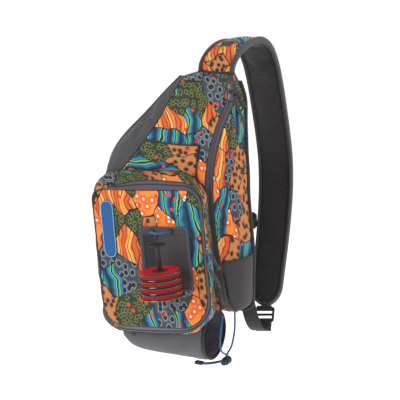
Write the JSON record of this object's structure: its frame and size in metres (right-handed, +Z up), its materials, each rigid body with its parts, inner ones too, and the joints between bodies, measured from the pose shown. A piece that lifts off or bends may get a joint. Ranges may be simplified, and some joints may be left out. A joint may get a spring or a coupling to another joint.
{
  "type": "tackle sling bag",
  "caption": "Printed sling bag for fishing tackle: tapered main compartment, zipped box pocket with a spool stack, bottle sleeve below and one wide padded shoulder strap.",
  "frame": {"origin": "inside the top of the shoulder strap's arch, where the bag hangs on the shoulder", "axes": "+Z up, -Y towards the bag's front (away from the wearer's back), +X towards the side with the main zipper and the strap"},
  "size_m": [0.2686, 0.3672, 0.497],
  "materials": {
    "printed_cloth": "matte",
    "grey_cloth": "matte",
    "coated_tape": "satin",
    "brushed_patch": "matte",
    "air_mesh": "matte",
    "binding_tape": "matte",
    "blue_cord": "satin",
    "blue_patch": "satin",
    "grey_pull": "matte",
    "black_plastic": "matte",
    "red_plastic": "gloss",
    "dark_metal": "satin"
  },
  "bodies": {
    "bag": {"right_gusset": "printed_cloth", "front_panel": "printed_cloth", "top_yoke": "printed_cloth", "stash_panel": "printed_cloth", "pocket_face": "printed_cloth", "pocket_top_gusset": "printed_cloth", "pocket_right_gusset": "printed_cloth", "pocket_bottom_gusset": "printed_cloth", "strap_cover": "printed_cloth", "left_wing": "grey_cloth", "body_floor": "grey_cloth", "pocket_left_gusset": "grey_cloth", "dock_patch": "grey_cloth", "bottle_sleeve": "grey_cloth", "ring_tab": "grey_cloth", "stabilizer_webbing": "grey_cloth", "main_zipper": "coated_tape", "pocket_zip_band": "coated_tape", "hook_patch": "brushed_patch", "back_panel": "air_mesh", "strap_mesh": "air_mesh", "sleeve_binding": "binding_tape", "strap_binding": "binding_tape", "lower_tab": "binding_tape", "lower_webbing": "binding_tape", "stabilizer_tab": "binding_tape", "dock_cord": "blue_cord", "retention_cord_front": "blue_cord", "retention_cord_back": "blue_cord", "retention_tail_front": "blue_cord", "retention_tail_back": "blue_cord", "label_patch": "blue_patch", "main_upper_pull": "grey_pull", "main_lower_pull": "grey_pull", "pocket_upper_pull": "grey_pull", "pocket_lower_pull": "grey_pull", "spool_post": "black_plastic", "cord_lock": "black_plastic", "cord_end": "black_plastic", "lower_buckle": "black_plastic", "stabilizer_buckle": "black_plastic", "sleeve_tab": "black_plastic", "strap_ring": "dark_metal", "main_upper_slider": "dark_metal", "main_lower_slider": "dark_metal", "pocket_upper_slider": "dark_metal", "pocket_lower_slider": "dark_metal"},
    "spool_1_turning": {"spool_1": "red_plastic"},
    "spool_2_turning": {"spool_2": "red_plastic"},
    "spool_3_turning": {"spool_3": "red_plastic"},
    "spool_4_turning": {"spool_4": "red_plastic"}
  },
  "joints": [
    {"name": "spool_1_spin", "type": "hinge", "parent": "bag", "child": "spool_1_turning", "pos_m": [-0.01011, -0.23737, -0.33764], "axis": [-0.1219, 0, 0.9925], "continuous": true},
    {"name": "spool_2_spin", "type": "hinge", "parent": "bag", "child": "spool_2_turning", "pos_m": [-0.01133, -0.23737, -0.32771], "axis": [-0.1219, 0, 0.9925], "continuous": true},
    {"name": "spool_3_spin", "type": "hinge", "parent": "bag", "child": "spool_3_turning", "pos_m": [-0.01255, -0.23737, -0.31779], "axis": [-0.1219, 0, 0.9925], "continuous": true},
    {"name": "spool_4_spin", "type": "hinge", "parent": "bag", "child": "spool_4_turning", "pos_m": [-0.01377, -0.23737, -0.30786], "axis": [-0.1219, 0, 0.9925], "continuous": true}
  ]
}
